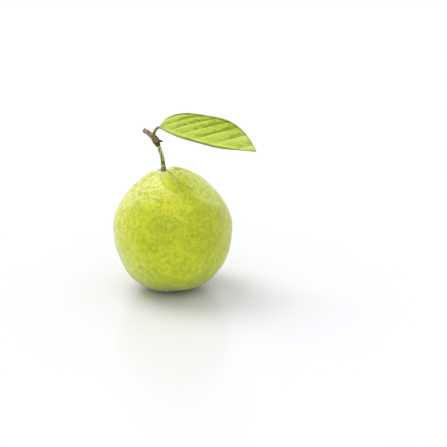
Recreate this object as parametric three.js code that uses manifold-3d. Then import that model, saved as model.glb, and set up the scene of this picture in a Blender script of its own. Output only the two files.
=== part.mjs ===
// A whole guava, picked with its stalk, a snipped end of twig and one leaf.
// Millimetres, +Z up. The origin is the centre of the small flat spot that the fruit stands on.
// The stalk end leans towards -X, and the leaf reaches out towards +X.

import * as THREE from "three";
import { mergeVertices } from "three/addons/utils/BufferGeometryUtils.js";
import Module from "manifold-3d";

const wasm = await Module();
wasm.setup();

const { degToRad, radToDeg, smoothstep, lerp } = THREE.MathUtils;
const at = (x, y, z) => new THREE.Vector3(x, y, z);

// ---------------------------------------------------------------- driving dimensions

const joint_gap = 0.3; // left all round between pieces that touch

const body = {
  radius: 43.15, // half of the widest diameter
  waist_height: 48.4, // of the widest level, above the surface
  crown_height: 42.6, // from the widest level up to the top
  crown_fullness: 1.64, // 2 is an ellipse, less is leaner
  base_depth: 48.9, // from the widest level down, before the flat spot is taken off
  base_fullness: 2.32, // more than 2 is blunter than an ellipse
  segments_around: 80,
  segments_down: 52,
};

// Angles on the fruit are in degrees round its centre. Basins are dents with the profile of a bell.
const stalk_lean = 8; // that the stalk end leans towards -X
const calyx_lean = { to_x: 14, to_y: 4 }; // that the blossom end is off straight down
const stalk_basin = { depth: 1.7, spread: 9 };
const calyx_basin = { depth: 4.4, spread: 7.6 };
const shoulder = { height: 0.4, angle: 26, spread: 11 }; // the swollen ring round the stalk basin

// Furrows run down from the stalk between swollen shoulders. Their azimuths go from +X towards +Y.
const furrows = [
  { azimuth: -52, depth: 2.3, width: 15, reach: 78 },
  { azimuth: -14, depth: 1.3, width: 8, reach: 36 },
  { azimuth: 22, depth: 1.3, width: 12, reach: 50 },
  { azimuth: 78, depth: 1.5, width: 14, reach: 60 },
  { azimuth: 132, depth: 1.8, width: 15, reach: 66 },
  { azimuth: -164, depth: 1.3, width: 13, reach: 56 },
  { azimuth: -108, depth: 0.9, width: 11, reach: 44 },
];
const furrow_start = { none: 4, full: 15 }; // how far from the stalk a furrow is not there yet, and whole
const furrow_fade = 0.35; // share of its reach where it starts to run out

// The skin is uneven: broad swells, with smaller lumps on them. frequency is in waves per 2 pi of the ball.
const swells = { height: 0.42, frequency: 6.5, phase: 2 };
const pebbles = { height: 0.16, frequency: 17, phase: 0.7 };
const wave_count = 9;
const wave_spread = 0.25; // how much the waves differ in length
const golden_angle = 2.39996;
// The skin is even near the stalk, the calyx and the flat spot: wholly within the first angle.
const calm_stalk = [4, 16];
const calm_calyx = [6, 16];
const calm_flat = [12, 26];

const stalk = {
  path: [
    at(-6, 0, 85.4), at(-6.3, 0, 88.1), at(-6.4, 0, 90.6), at(-6.7, 0, 94.7),
    at(-7.3, 0, 98.8), at(-8.4, 0, 102.9), at(-9.8, 0, 107.4),
  ],
  radii: [2.3, 2, 1.75, 1.5, 1.4, 1.3, 1.3],
  sides: 12,
  rings: 20,
};

const twig = {
  path: [
    at(-9.7, 0, 106.5), at(-10.4, 0, 108.4), at(-11.6, 0, 111.2), at(-13.7, 0, 113.8),
    at(-16.6, 0, 116.1), at(-19.2, 0, 117.9), at(-19.8, 0, 118.2),
  ],
  radii: [1.5, 2.1, 2.65, 2.05, 1.75, 1.65, 1.5],
  sides: 14,
  rings: 24,
};

// The round scar that a dropped leaf left on the joint: a raised disc with a sunken middle.
const leaf_scar = {
  centre: at(-11, -2.1, 111.6),
  facing: at(0.2, -1, 0.1),
  radius: 1.6,
  rim: 0.5,
  height: 1.6,
  sides: 14,
};

const bud = {
  path: [at(-10.6, -0.6, 110.8), at(-9, -0.7, 110.6), at(-7.6, -0.8, 110.4), at(-6, -0.9, 110.1)],
  radii: [0.9, 0.9, 0.7, 0.15],
  sides: 8,
  rings: 8,
};

const petiole = {
  path: [
    at(-12.6, 0, 113.2), at(-12.6, 0, 115.3), at(-12.1, 0, 117.3),
    at(-11, 0, 118.9), at(-8.8, 0, 120.1), at(-4.6, -1.2, 118.6),
  ],
  radii: [1.3, 1.1, 1, 1, 0.9, 0.4],
  sides: 10,
  rings: 16,
};

const blade = {
  base: at(-8.6, 0, 120.9),
  length: 71.3,
  half_width: 20.5,
  widest_at: 0.51, // share of the length
  point: 2.5, // how full the blade stays beyond its widest place, before the tip
  end_width: 0.5, // half of the blade's width at its very base and tip
  droop: 11.3, // degrees below level
  heading: -13.4, // degrees that the tip is swung towards -Y
  roll: 21.2, // degrees that the whole blade is turned to face -Y
  fold: 34, // degrees that each half rises from the middle plane
  crease: 0.06, // share of the half-width over which the fold at the midrib is rounded
  sag: 2, // of the midrib between its ends
  bow: 1.6, // of the midrib sideways, between its ends
  thickness: 0.66,
  columns: 16,
  rows: 56,
};
const midrib = { depth: 0.5, half_width: 1.1, taper: 0.7 }; // proud of the underside, and finer at the tip
const side_veins = {
  first: -9, // where the first one would leave the midrib, if it started before the blade does
  spacing: 4.3, // between two of them at the base
  widening: 0.08, // added to the spacing for each millimetre along the midrib
  lean: 1, // how far one at the base runs forward for each millimetre on its way out
  lean_gain: 1, // how much more forward one at the tip would run
  swelling: 0.55, // height of the blade between two of them
  roundness: 0.8, // less than 1 makes flat swellings with narrow grooves between
};
const margin_waves = { count: 2.3, height: 0.25, offset: -0.18 }; // the two margins are a little out of step

const calyx = {
  disc_radius: 2.4,
  sepals: 5,
  sepal_length: 2.7,
  sepal_point: 1.3, // 1 is round, more is sharper
  depth: 3.5, // of its centre below the fruit's own curve
  cupping: 2.3, // how far the tips stand above the centre
  thickness: 0.9,
  segments_around: 50,
  segments_across: 8,
};

// ---------------------------------------------------------------- solids

// A closed geometry as a manifold-3d solid.
function solidOf(geometry) {
  const plain = geometry.clone();
  plain.deleteAttribute("normal");
  plain.deleteAttribute("uv");
  const merged = mergeVertices(plain, 1e-4);
  return new wasm.Manifold(new wasm.Mesh({
    numProp: 3,
    vertProperties: new Float32Array(merged.attributes.position.array),
    triVerts: new Uint32Array(merged.index.array),
  }));
}

function geometryOf(solid) {
  const mesh = solid.getMesh();
  const geometry = new THREE.BufferGeometry()
    .setAttribute("position", new THREE.BufferAttribute(new Float32Array(mesh.vertProperties), 3))
    .setIndex(new THREE.BufferAttribute(new Uint32Array(mesh.triVerts), 1));
  geometry.computeVertexNormals();
  return geometry;
}

// Moves every vertex of a geometry to where place(vertex) says.
function reshape(geometry, place) {
  const position = geometry.attributes.position;
  const vertex = at(0, 0, 0);
  for (let i = 0; i < position.count; i++) {
    const moved = place(vertex.fromBufferAttribute(position, i));
    position.setXYZ(i, moved.x, moved.y, moved.z);
  }
  return geometry;
}

// A round stem that follows its path, with its own radius at each point. grow fattens and lengthens it.
function stemSolid({ path, radii, sides, rings }, grow = 0) {
  const line = new THREE.CatmullRomCurve3(path);
  const girth = new THREE.SplineCurve(radii.map((radius, i) => new THREE.Vector2(i, radius)));
  const frames = line.computeFrenetFrames(rings, false);
  const tube = new THREE.CylinderGeometry(1, 1, 1, sides, rings);
  reshape(tube, (v) => {
    const share = 0.5 - v.y;
    const ring = Math.round(share * rings);
    const radius = girth.getPoint(line.getUtoTmapping(share)).y + grow;
    const lengthening = ring === 0 ? -grow : ring === rings ? grow : 0;
    return line.getPointAt(share)
      .addScaledVector(frames.normals[ring], v.x * radius)
      .addScaledVector(frames.binormals[ring], v.z * radius)
      .addScaledVector(frames.tangents[ring], lengthening);
  });
  return solidOf(tube);
}

const bell = (x, spread) => Math.exp(-((x / spread) ** 2));
const turnTo = (from, to) => new THREE.Quaternion().setFromUnitVectors(from, to);

// ---------------------------------------------------------------- the fruit

const straight_down = at(0, 0, -1);
const stalk_axis = at(-Math.sin(degToRad(stalk_lean)), 0, Math.cos(degToRad(stalk_lean)));
const calyx_axis = at(
  Math.sin(degToRad(calyx_lean.to_x)),
  Math.sin(degToRad(calyx_lean.to_y)),
  -1,
).normalize();
const fruit_centre = at(0, 0, body.waist_height);

// Distance from the centre to the plain body in a direction.
function bodyRadius(direction) {
  const crown = direction.z > 0;
  const height = crown ? body.crown_height : body.base_depth;
  const fullness = crown ? body.crown_fullness : body.base_fullness;
  const out = Math.hypot(direction.x, direction.y) / body.radius;
  const up = Math.abs(direction.z) / height;
  return (out ** fullness + up ** fullness) ** (-1 / fullness);
}

function furrowDepth(direction) {
  const from_stalk = radToDeg(direction.angleTo(stalk_axis));
  const azimuth = radToDeg(Math.atan2(direction.y, direction.x - stalk_axis.x));
  let depth = 0;
  for (const furrow of furrows) {
    const off = THREE.MathUtils.euclideanModulo(azimuth - furrow.azimuth + 180, 360) - 180;
    const start = smoothstep(from_stalk, furrow_start.none, furrow_start.full);
    const finish = 1 - smoothstep(from_stalk, furrow_fade * furrow.reach, furrow.reach);
    depth += furrow.depth * bell(off, furrow.width) * start * finish;
  }
  return depth;
}

// Waves from directions spread evenly over a ball, of slightly different lengths, cross each other.
function unevenness(direction, { height, frequency, phase }) {
  let sum = 0;
  for (let i = 0; i < wave_count; i++) {
    const up = 1 - (2 * i + 1) / wave_count;
    const level = Math.sqrt(1 - up * up);
    const turn = golden_angle * i + phase;
    const along = direction.dot(at(level * Math.cos(turn), level * Math.sin(turn), up));
    const own_frequency = frequency * (1 + wave_spread * Math.sin(1.7 * i));
    sum += Math.sin(own_frequency * along + golden_angle * i + phase);
  }
  return (height * sum) / Math.sqrt(wave_count);
}

function fruitPoint(direction) {
  const from = (axis) => radToDeg(direction.angleTo(axis));
  const calm = smoothstep(from(stalk_axis), ...calm_stalk)
    * smoothstep(from(calyx_axis), ...calm_calyx)
    * smoothstep(from(straight_down), ...calm_flat);
  const radius = bodyRadius(direction)
    - stalk_basin.depth * bell(from(stalk_axis), stalk_basin.spread)
    + shoulder.height * bell(from(stalk_axis) - shoulder.angle, shoulder.spread)
    - furrowDepth(direction)
    - calyx_basin.depth * bell(from(calyx_axis), calyx_basin.spread)
    + calm * (unevenness(direction, swells) + unevenness(direction, pebbles));
  return direction.clone().multiplyScalar(radius).add(fruit_centre);
}

// The ball's pole is turned to the stalk, so that its mesh is finest where the furrows meet.
function fruitSolid() {
  const turn = turnTo(at(0, 1, 0), stalk_axis);
  const ball = new THREE.SphereGeometry(1, body.segments_around, body.segments_down);
  const flesh = solidOf(reshape(ball, (v) => fruitPoint(v.clone().normalize().applyQuaternion(turn))));
  const below_size = 200;
  const below = new THREE.BoxGeometry(below_size, below_size, below_size).translate(0, 0, -below_size / 2);
  return flesh
    .subtract(solidOf(below))
    .subtract(stemSolid(stalk, joint_gap))
    .subtract(calyxSolid(joint_gap));
}

// ---------------------------------------------------------------- the dried calyx at the blossom end

// A thin cup with one point for each sepal, made from a flattened ball.
function calyxSolid(grow = 0) {
  const turn = turnTo(at(0, 0, 1), calyx_axis);
  const seat = bodyRadius(calyx_axis) - calyx.depth;
  const ball = new THREE.SphereGeometry(1, calyx.segments_around, calyx.segments_across);
  reshape(ball, (v) => {
    const across = Math.min(1, Math.hypot(v.x, v.z));
    const around = Math.atan2(v.z, v.x);
    const pointed = Math.abs(Math.cos(0.5 * calyx.sepals * around)) ** calyx.sepal_point;
    const reach = calyx.disc_radius + calyx.sepal_length * pointed + grow;
    const rise = calyx.cupping * across ** 2 * lerp(0.5, 1, pointed);
    const height = seat + rise + v.y * (0.5 * calyx.thickness + grow);
    return at(v.x * reach, -v.z * reach, height).applyQuaternion(turn).add(fruit_centre);
  });
  return solidOf(ball);
}

// ---------------------------------------------------------------- twig

function scarDisc(radius, height, forward) {
  const facing = leaf_scar.facing.clone().normalize();
  const centre = leaf_scar.centre.clone().addScaledVector(facing, forward);
  const disc = new THREE.CylinderGeometry(radius, radius, height, leaf_scar.sides)
    .applyQuaternion(turnTo(at(0, 1, 0), facing))
    .translate(centre.x, centre.y, centre.z);
  return solidOf(disc);
}

function twigSolid() {
  const { radius, rim, height } = leaf_scar;
  return stemSolid(twig)
    .add(scarDisc(radius, height, 0))
    .subtract(scarDisc(radius - rim, rim, 0.5 * height))
    .subtract(stemSolid(stalk, joint_gap))
    .subtract(stemSolid(petiole, joint_gap))
    .subtract(stemSolid(bud, joint_gap));
}

// ---------------------------------------------------------------- leaf

// Half an ellipse as far as the widest place, then a drawn-out point.
function halfWidth(share) {
  const short_of_widest = (blade.widest_at - share) / blade.widest_at;
  const past_widest = (share - blade.widest_at) / (1 - blade.widest_at);
  const full = share < blade.widest_at
    ? Math.sqrt(1 - short_of_widest ** 2)
    : 1 - past_widest ** blade.point;
  return Math.max(blade.end_width, blade.half_width * full);
}

// The blade's own axes: along the midrib, across it, and out of its upper face.
function bladeAxes() {
  const heading = degToRad(blade.heading);
  const droop = degToRad(blade.droop);
  const level = Math.cos(droop);
  const along = at(level * Math.cos(heading), level * Math.sin(heading), -Math.sin(droop));
  const across = at(0, 0, 1).cross(along).normalize().applyAxisAngle(along, degToRad(blade.roll));
  return { along, across, out: along.clone().cross(across) };
}

// A whole number on each side vein, and a half way between two. side runs from -1 to 1 across the blade.
function veinCount(share, side) {
  const way = Math.abs(side) * halfWidth(share);
  const forward = way * (side_veins.lean + side_veins.lean_gain * share);
  const foot = blade.length * share - forward - side_veins.first;
  return foot / (side_veins.spacing + side_veins.widening * foot);
}

// How far the upper face swells between the side veins.
function swelling(share, side) {
  const off = Math.abs(side);
  const between = Math.abs(Math.sin(Math.PI * veinCount(share, side))) ** side_veins.roundness;
  const inside = smoothstep(off, 0.02, 0.3) * (1 - smoothstep(off, 0.75, 1));
  const narrow_end = Math.min(1, halfWidth(share) / 8);
  return side_veins.swelling * between * inside * narrow_end;
}

// A point of the blade at a share of its length. drop goes below the upper face.
function bladePoint({ along, across, out }, share, side, drop) {
  const fold = degToRad(blade.fold);
  const half = halfWidth(share);
  const creased = Math.hypot(side, blade.crease) - blade.crease;
  const { count, height, offset } = margin_waves;
  const phase = 2 * Math.PI * (count * share + offset * Math.sign(side));
  const wave = height * Math.sin(phase) * Math.abs(side) ** 3;
  const sagging = Math.sin(Math.PI * share);
  const rise = half * Math.sin(fold) * creased + swelling(share, side) + wave - blade.sag * sagging;
  return blade.base.clone()
    .addScaledVector(along, blade.length * share)
    .addScaledVector(across, half * Math.cos(fold) * side - blade.bow * sagging)
    .addScaledVector(out, rise - drop);
}

// Two like grids, the upper face and the lower face, joined round the margin.
function bladeSolid() {
  const axes = bladeAxes();
  const { rows, columns } = blade;
  const vertices = [];
  for (const lower of [0, 1]) {
    for (let i = 0; i <= rows; i++) {
      const even = i / rows;
      const share = lerp(even, 0.5 - 0.5 * Math.cos(Math.PI * even), 0.65); // closer rows at both ends
      for (let j = 0; j <= columns; j++) {
        const level = (2 * j) / columns - 1;
        const side = Math.sign(level) * Math.abs(level) ** 1.4; // closer columns at the midrib
        const rib_bell = bell(side * halfWidth(share), midrib.half_width);
        const rib = midrib.depth * (1 - midrib.taper * share) * rib_bell;
        vertices.push(...bladePoint(axes, share, side, lower * (blade.thickness + rib)));
      }
    }
  }
  const vertex = (lower, i, j) => (lower * (rows + 1) + i) * (columns + 1) + j;
  const corners = (lower, i, j) => [
    vertex(lower, i, j),
    vertex(lower, i + 1, j),
    vertex(lower, i + 1, j + 1),
    vertex(lower, i, j + 1),
  ];
  const faces = [];
  const quad = (a, b, c, d) => faces.push(a, b, c, a, c, d);
  for (let i = 0; i < rows; i++) {
    for (let j = 0; j < columns; j++) {
      const [a, b, c, d] = corners(1, i, j);
      quad(...corners(0, i, j));
      faces.push(a, c, b, a, d, c); // the same diagonal as above, facing down
    }
    quad(vertex(0, i + 1, 0), vertex(0, i, 0), vertex(1, i, 0), vertex(1, i + 1, 0));
    quad(vertex(0, i, columns), vertex(0, i + 1, columns), vertex(1, i + 1, columns), vertex(1, i, columns));
  }
  for (let j = 0; j < columns; j++) {
    quad(vertex(0, 0, j), vertex(0, 0, j + 1), vertex(1, 0, j + 1), vertex(1, 0, j));
    quad(vertex(0, rows, j + 1), vertex(0, rows, j), vertex(1, rows, j), vertex(1, rows, j + 1));
  }
  const geometry = new THREE.BufferGeometry()
    .setAttribute("position", new THREE.Float32BufferAttribute(vertices, 3))
    .setIndex(faces);
  return solidOf(geometry);
}

function leafSolid() {
  return bladeSolid().add(stemSolid(petiole));
}

// ---------------------------------------------------------------- the whole

function piece(name, solid, color, roughness) {
  const material = new THREE.MeshStandardMaterial({ color, roughness, metalness: 0 });
  const mesh = new THREE.Mesh(geometryOf(solid), material);
  mesh.name = name;
  return mesh;
}

const guava = new THREE.Group();
guava.add(
  piece("fruit", fruitSolid(), 0xbac63a, 0.42),
  piece("calyx", calyxSolid(), 0x6b5a2e, 0.85),
  piece("stalk", stemSolid(stalk), 0x8f8c4e, 0.7),
  piece("twig", twigSolid(), 0x7a5a36, 0.8),
  piece("bud", stemSolid(bud), 0x4a3f28, 0.8),
  piece("leaf", leafSolid(), 0xb4cc4c, 0.5),
);

export default guava;
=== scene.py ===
# %% [markdown]
# # A whole guava with its stalk, an end of twig and one leaf
#
# A guava is a soft fruit with a thin, waxy, slightly pebbly skin. This one was picked with its
# stalk, so a snipped end of twig and one leaf are still on it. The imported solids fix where
# everything is and how large it is. This script gives each of them a finer shape and a finish.

# %% Load the fixed frame
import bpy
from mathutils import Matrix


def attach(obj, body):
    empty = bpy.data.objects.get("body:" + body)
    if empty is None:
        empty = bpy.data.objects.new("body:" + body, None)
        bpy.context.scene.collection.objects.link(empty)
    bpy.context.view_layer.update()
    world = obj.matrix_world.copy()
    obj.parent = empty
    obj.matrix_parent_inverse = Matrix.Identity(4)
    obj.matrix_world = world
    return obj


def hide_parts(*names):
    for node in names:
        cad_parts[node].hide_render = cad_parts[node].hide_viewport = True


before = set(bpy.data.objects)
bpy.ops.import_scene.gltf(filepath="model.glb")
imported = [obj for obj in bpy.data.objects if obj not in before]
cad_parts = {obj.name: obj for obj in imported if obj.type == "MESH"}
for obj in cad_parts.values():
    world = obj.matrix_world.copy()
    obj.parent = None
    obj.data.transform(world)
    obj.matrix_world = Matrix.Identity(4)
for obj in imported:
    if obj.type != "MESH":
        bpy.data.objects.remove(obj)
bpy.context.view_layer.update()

print("solids:", ", ".join(sorted(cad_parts)))

# %% [markdown]
# ## Camera, light and floor
#
# Small fruit is usually shown on a white table under one large soft lamp, with white all round.
# The lamp could be an area light, but a sun with a wide angle gives the same soft shadow and the
# same broad shine, and it lights the whole table evenly. So the table stays white to its far edge.

# %% Camera
import math

import bpy
from mathutils import Vector

scene = bpy.context.scene
scene.view_settings.view_transform = "Standard"

camera_height_angle = math.radians(18)  # above level
camera_distance = 0.770  # in metres
camera_aim = Vector((0.0367, 0, 0.0486))  # a point under the middle of the leaf

lens = bpy.data.cameras.new("camera")
lens.lens = 85
lens.sensor_width = 36
camera = bpy.data.objects.new("camera", lens)
scene.collection.objects.link(camera)
towards_camera = Vector((0, -math.cos(camera_height_angle), math.sin(camera_height_angle)))
camera.location = camera_aim + camera_distance * towards_camera
camera.rotation_euler = (math.pi / 2 - camera_height_angle, 0, 0)
scene.camera = camera
print("camera at", [round(value, 3) for value in camera.location])

# %% Lamp and surroundings
lamp_direction = Vector((-0.40, 0.30, 0.86))  # from the fruit: overhead, to the left and behind
lamp_angle = math.radians(38)  # a wide lamp casts soft shadows
faint_blue_white = (1, 1.01, 1.055, 1)  # evens out the green that the fruit throws on the table

lamp = bpy.data.lights.new("soft overhead lamp", "SUN")
lamp.energy = 1.6
lamp.angle = lamp_angle
lamp_object = bpy.data.objects.new("soft overhead lamp", lamp)
lamp_object.rotation_euler = lamp_direction.to_track_quat("Z", "Y").to_euler()
scene.collection.objects.link(lamp_object)

surroundings = bpy.data.worlds.new("white surroundings")
surroundings.use_nodes = True
background = surroundings.node_tree.nodes["Background"]
background.inputs["Color"].default_value = faint_blue_white
background.inputs["Strength"].default_value = 1.0
scene.world = surroundings
print("lamp energy", round(lamp.energy, 2), "spread over", round(math.degrees(lamp.angle)), "degrees")

# %% Floor
import bmesh

floor_width = 12  # in metres, so wide that its edge is never seen
card_white = (0.695, 0.695, 0.695, 1)
card_roughness = 0.25  # glazed card, which mirrors the fruit a little

floor_mesh = bmesh.new()
bmesh.ops.create_grid(floor_mesh, x_segments=1, y_segments=1, size=floor_width / 2)
floor_data = bpy.data.meshes.new("floor")
floor_mesh.to_mesh(floor_data)
floor_mesh.free()
floor = bpy.data.objects.new("floor", floor_data)
scene.collection.objects.link(floor)

white_card = bpy.data.materials.new("white card")
white_card.use_nodes = True
card_shader = white_card.node_tree.nodes["Principled BSDF"]
card_shader.inputs["Base Color"].default_value = card_white
card_shader.inputs["Roughness"].default_value = card_roughness
floor_data.materials.append(white_card)
print("floor:", [round(side, 1) for side in floor.dimensions], "m")

# %% [markdown]
# ## Shader maths as plain Python
#
# A finish is a small sum of patterns: mottling, specks, streaks. Nodes could be wired one by one,
# but sums are easier to read as sums. So a `Wire` wraps a socket, and arithmetic on wires adds
# Math nodes. Any other node comes from one method, which sets its settings and then its sockets.

# %% One class for wires
class Wire:
    """A socket of a material. Arithmetic on wires adds Math nodes."""

    def __init__(self, tree, socket):
        self.tree = tree
        self.socket = socket

    def node(self, kind, settings=None, sockets=None, output=0):
        """Adds a node of any other kind: its settings first, then the values or wires of its sockets."""
        node = self.tree.nodes.new("ShaderNode" + kind)
        for name, value in (settings or {}).items():
            setattr(node, name, value)
        for name, value in (sockets or {}).items():
            if isinstance(value, Wire):
                self.tree.links.new(value.socket, node.inputs[name])
            else:
                node.inputs[name].default_value = value
        return Wire(self.tree, node.outputs[output])

    def math(self, operation, *values):
        """A Math node, with its values or wires in the order of its sockets."""
        return self.node("Math", {"operation": operation}, dict(enumerate(values)))

    def __add__(self, other):
        return self.math("ADD", self, other)

    def __sub__(self, other):
        return self.math("SUBTRACT", self, other)

    def __rsub__(self, other):
        return self.math("SUBTRACT", other, self)

    def __mul__(self, other):
        return self.math("MULTIPLY", self, other)

    __radd__ = __add__
    __rmul__ = __mul__

    def above(self, low, high):
        """0 below low, 1 above high, and a smooth step between them."""
        spans = {"Value": self, "From Min": low, "From Max": high}
        return self.node("MapRange", {"interpolation_type": "SMOOTHSTEP"}, spans)

    def part(self, axis):
        """One coordinate of a wire that carries a vector: 0 for X, 1 for Y, 2 for Z."""
        return self.node("SeparateXYZ", None, {0: self}, output=axis)

    def to(self, shader, name):
        self.tree.links.new(self.socket, shader.inputs[name])


# %% Colours and speckles
mm = 0.001  # sizes below are in millimetres, and Blender counts in metres


def colour(red, green, blue):
    """A colour in the usual 0 to 255 steps, as the linear numbers that shaders use."""
    linear = []
    for step in (red, green, blue):
        share = step / 255
        linear.append(share / 12.92 if share <= 0.04045 else ((share + 0.055) / 1.055) ** 2.4)
    return (*linear, 1)


def mix(factor, first, second):
    """first where factor is 0, second where it is 1."""
    return factor.node("Mix", {"data_type": "RGBA"}, {0: factor, 6: first, 7: second}, output=2)


def speckle(place, size, detail=1.0, stretch=(1, 1, 1), turn=(0, 0, 0), shift=0.0):
    """Soft random values round 0.5, in patches about size mm wide, stretched along turned axes."""
    scale = tuple(size * mm * length for length in stretch)
    offset = (shift * mm, 2 * shift * mm, 3 * shift * mm)
    sockets = {"Vector": place, "Location": offset, "Rotation": turn, "Scale": scale}
    mapped = place.node("Mapping", {"vector_type": "TEXTURE"}, sockets)
    return mapped.node("TexNoise", None, {"Vector": mapped, "Scale": 1.0, "Detail": detail})


print("a mid grey of 128 steps is", round(colour(128, 128, 128)[0], 3), "as a linear number")


# %% Starting and ending a finish
def start_material(name, roughness=0.5, specular=0.5):
    """A new material: the material itself, its shader, and a wire with the Object coordinates."""
    material = bpy.data.materials.new(name)
    material.use_nodes = True
    tree = material.node_tree
    shader = tree.nodes["Principled BSDF"]
    shader.inputs["Roughness"].default_value = roughness
    shader.inputs["Specular IOR Level"].default_value = specular
    place = Wire(tree, tree.nodes.new("ShaderNodeTexCoord").outputs["Object"])
    return material, shader, place


def bump(height, depth, over=None):
    """A Bump node's normal from a height wire of 0 to 1, depth mm deep, laid over another bump."""
    sockets = {"Height": height, "Distance": depth * mm, "Strength": 1.0}
    if over is not None:
        sockets["Normal"] = over
    return height.node("Bump", None, sockets)


def so_far(material):
    print(f"{material.name}: {len(material.node_tree.nodes)} nodes so far")


def cover(piece, material):
    """Gives the piece the material, after any that it has."""
    piece.data.materials.append(material)
    print(f"{piece.name} is covered with {material.name}, of {len(material.node_tree.nodes)} nodes")


# %% [markdown]
# ## Helpers for grown shapes
#
# Nothing on a fruit is straight or round, but much of it is nearly so. Each piece therefore starts
# as a plain bmesh shape, a ball, a tube or a grid, and a formula then says where every vertex goes.
# Sculpting could give the same forms, but a formula can be read, and it repeats exactly.

# %% Curves and directions
import numpy as np
from mathutils import Matrix, noise

up = np.array((0.0, 0.0, 1.0))
down = -up


def smooth(x, low, high):
    """0 below low, 1 above high, and a smooth step between them."""
    t = np.clip((x - low) / (high - low), 0, 1)
    return t * t * (3 - 2 * t)


def bell(x, spread):
    """1 at 0, falling to about a third at the spread on either side."""
    return np.exp(-((x / spread) ** 2))


def unit(vector):
    """The same direction, 1 long."""
    return np.asarray(vector, float) / np.linalg.norm(vector)


def turn_from_up(axis):
    """The 3 by 3 rotation that turns +Z to the axis."""
    return np.array(Vector(up).rotation_difference(Vector(axis)).to_matrix())


print("a smooth step in quarters:", smooth(np.linspace(0, 1, 5), 0, 1).round(2))


# %% Vertex moves
def lumps(points, size, octaves=1):
    """Smooth random heights, about -1 to 1, in lumps about size wide. points is an (n, 3) array."""
    return np.array([noise.fractal(Vector(point) / size, 1.0, 2.0, octaves) for point in points])


def move_vertices(mesh, new_places):
    """new_places takes the (n, 3) array of all vertices and returns where they go."""
    vertices = list(mesh.verts)
    places = new_places(np.array([vertex.co[:] for vertex in vertices]))
    for vertex, place in zip(vertices, places):
        vertex.co = place


# %% From a bmesh to a piece of the object
def make_piece(name, mesh, node):
    """Makes a bmesh in millimetres an object in metres that stands for a solid of the frame."""
    bmesh.ops.scale(mesh, vec=(mm, mm, mm), verts=mesh.verts)
    data = bpy.data.meshes.new(name)
    mesh.to_mesh(data)
    mesh.free()
    data.shade_smooth()
    piece = bpy.data.objects.new(name, data)
    scene.collection.objects.link(piece)
    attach(piece, "root")
    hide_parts(node)
    size = [round(1000 * side, 1) for side in piece.dimensions]
    print(f"{name}: {len(data.polygons)} faces, {size} mm")
    return piece


def add_and_free(mesh, part):
    """Adds one bmesh to another, and frees the one that was added."""
    carrier = bpy.data.meshes.new("part on its way")
    part.to_mesh(carrier)
    part.free()
    mesh.from_mesh(carrier)
    bpy.data.meshes.remove(carrier)


# %% [markdown]
# ## The fruit's shape
#
# The fruit is nearly a ball, leaner above its waist and blunt below, where it stands. The stalk
# sits in a shallow basin, and furrows run down from there between swollen shoulders. The skin
# is uneven at every size. A subdivided cube would give even faces, but a ball whose pole is turned
# to the stalk has its finest mesh just where the furrows meet, so that is used.

# %% The fruit's driving dimensions, in millimetres
body_radius = 43.15
waist_height = 48.4
crown_height = 42.6  # from the waist up
base_depth = 48.9  # from the waist down, cut off by the flat spot that it stands on
crown_fullness = 1.64  # 2 is a ball, and less is leaner
base_fullness = 2.32
fruit_centre = np.array((0, 0, waist_height))

stalk_lean = math.radians(8)
stalk_axis = unit((-math.sin(stalk_lean), 0, math.cos(stalk_lean)))
calyx_axis = unit((math.sin(math.radians(14)), math.sin(math.radians(4)), -1))
print("the body alone is", 2 * body_radius, "mm wide and", waist_height + crown_height, "mm tall")


# %% Ways to say where a point of the skin is
def degrees_from(direction, axis):
    """How many degrees each direction is away from an axis."""
    return np.degrees(np.arccos(np.clip(direction @ axis, -1, 1)))


def wrapped(angle):
    """The same angle, between -180 and 180 degrees."""
    return (angle + 180) % 360 - 180


def azimuth_of(direction):
    """Degrees round the stalk: 0 is on the right, and -90 at the front."""
    return np.degrees(np.arctan2(direction[:, 1], direction[:, 0] - stalk_axis[0]))


def plain_radius(direction):
    """From the fruit's middle to a smooth body with no furrows or lumps."""
    crown = direction[:, 2] > 0
    height = np.where(crown, crown_height, base_depth)
    fullness = np.where(crown, crown_fullness, base_fullness)
    out = np.hypot(direction[:, 0], direction[:, 1]) / body_radius
    rise = np.abs(direction[:, 2]) / height
    return (out**fullness + rise**fullness) ** (-1 / fullness)


ends = np.array([stalk_axis, calyx_axis])
print("plain radius at the stalk and at the calyx:", plain_radius(ends).round(1))

# %% Furrows
# Each furrow: which way it runs from the stalk, its depth, its width and how far down it reaches.
# Depths are in millimetres, the rest in degrees.
furrows = [
    (-52, 2.3, 15, 78),
    (-14, 1.3, 8, 36),
    (22, 1.3, 12, 50),
    (78, 1.5, 14, 60),
    (132, 1.8, 15, 66),
    (-164, 1.3, 13, 56),
    (-108, 0.9, 11, 44),
]
deepest_furrow = max(depth for _, depth, _, _ in furrows)
fading_from = 0.35  # the share of its reach from where a furrow grows shallower


def furrow_depth(direction):
    from_stalk = degrees_from(direction, stalk_axis)
    azimuth = azimuth_of(direction)
    total = np.zeros(len(direction))
    for furrow_azimuth, depth, width, reach in furrows:
        run = smooth(from_stalk, 4, 15) * (1 - smooth(from_stalk, fading_from * reach, reach))
        total += depth * bell(wrapped(azimuth - furrow_azimuth), width) * run
    return total


print(len(furrows), "furrows, the deepest", deepest_furrow, "mm")

# %% Broad unevenness
golden_angle = 2.39996  # in radians: steps of it never repeat a direction


def crossing_waves(direction, height, frequency, phase, count=9):
    """Waves from directions spread over a ball, of slightly different lengths, cross each other."""
    total = np.zeros(len(direction))
    for i in range(count):
        rise = 1 - (2 * i + 1) / count
        turn = golden_angle * i + phase
        level = math.sqrt(1 - rise * rise)
        source = np.array((level * math.cos(turn), level * math.sin(turn), rise))
        own_frequency = frequency * (1 + 0.25 * math.sin(1.7 * i))
        total += np.sin(own_frequency * (direction @ source) + golden_angle * i + phase)
    return height * total / math.sqrt(count)


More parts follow.
